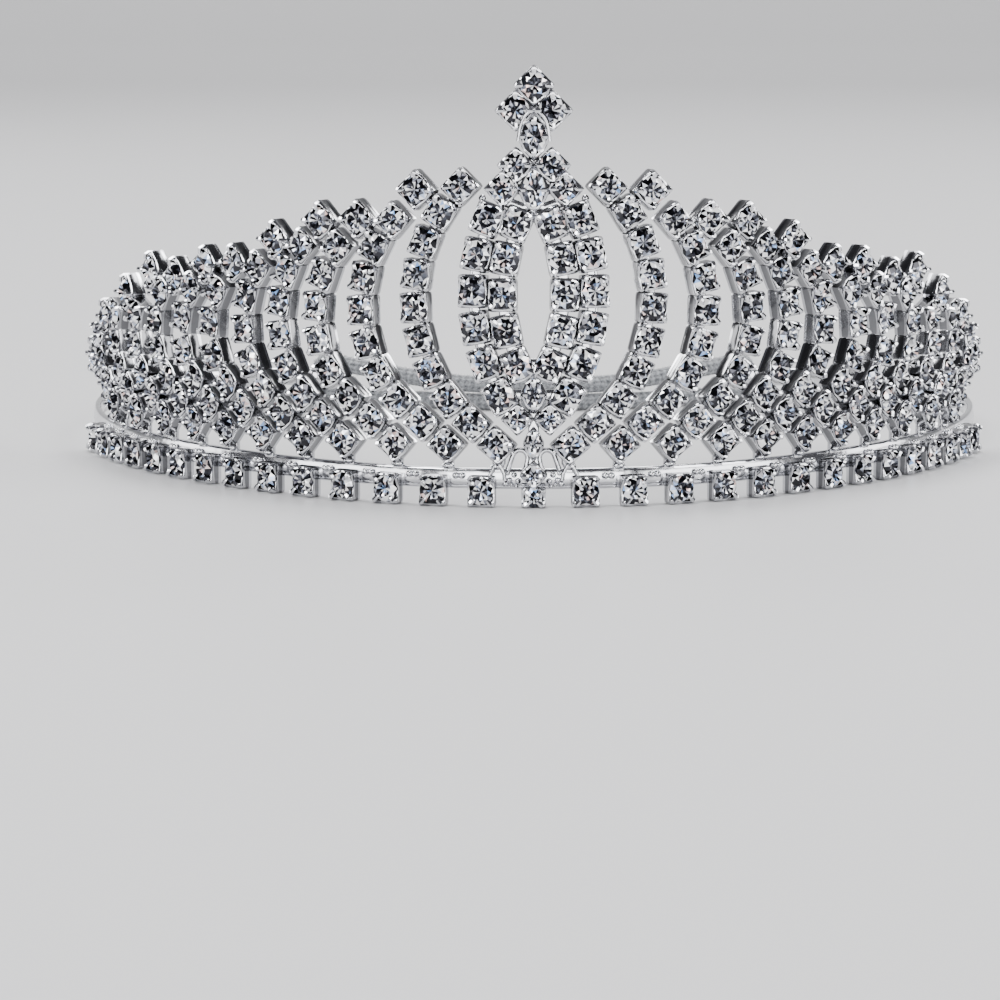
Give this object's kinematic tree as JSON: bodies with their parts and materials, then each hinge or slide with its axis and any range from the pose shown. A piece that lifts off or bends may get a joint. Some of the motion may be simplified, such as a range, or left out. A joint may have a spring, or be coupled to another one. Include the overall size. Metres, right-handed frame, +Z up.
{
  "type": "tiara",
  "caption": "Rhinestone tiara: claw-set clear stones in curved strands rising to a pointed centre, on a bent flat metal band with an elastic loop across the open back.",
  "frame": {"origin": "middle of the outline seen from above, on the surface that the tiara stands on", "axes": "+X across the head, -Y out of the front of the tiara, +Z up towards its point"},
  "size_m": [0.1286, 0.1225, 0.0568],
  "materials": {
    "metal": "bright silver-tone plating",
    "stones": "faceted clear glass with a mirrored back",
    "elastic": "grey covered elastic cord"
  },
  "bodies": {
    "root": {"base_band": "metal", "base_stones_left": "stones", "base_stones_right": "stones", "elastic": "elastic", "plume_setting": "metal", "plume_stones": "stones", "marquise_setting": "metal", "marquise_stones": "stones", "strand_1_left_setting": "metal", "strand_1_left_stones": "stones", "strand_1_right_setting": "metal", "strand_1_right_stones": "stones", "strand_2_left_setting": "metal", "strand_2_left_stones": "stones", "strand_2_right_setting": "metal", "strand_2_right_stones": "stones", "strand_3_left_setting": "metal", "strand_3_left_stones": "stones", "strand_3_right_setting": "metal", "strand_3_right_stones": "stones", "strand_4_left_setting": "metal", "strand_4_left_stones": "stones", "strand_4_right_setting": "metal", "strand_4_right_stones": "stones", "strand_5_left_setting": "metal", "strand_5_left_stones": "stones", "strand_5_right_setting": "metal", "strand_5_right_stones": "stones", "strand_6_left_setting": "metal", "strand_6_left_stones": "stones", "strand_6_right_setting": "metal", "strand_6_right_stones": "stones", "strand_7_left_setting": "metal", "strand_7_left_stones": "stones", "strand_7_right_setting": "metal", "strand_7_right_stones": "stones", "strand_8_left_setting": "metal", "strand_8_left_stones": "stones", "strand_8_right_setting": "metal", "strand_8_right_stones": "stones", "strand_9_left_setting": "metal", "strand_9_left_stones": "stones", "strand_9_right_setting": "metal", "strand_9_right_stones": "stones", "strand_10_left_setting": "metal", "strand_10_left_stones": "stones", "strand_10_right_setting": "metal", "strand_10_right_stones": "stones", "strand_11_left_setting": "metal", "strand_11_left_stones": "stones", "strand_11_right_setting": "metal", "strand_11_right_stones": "stones"}
  },
  "joints": []
}
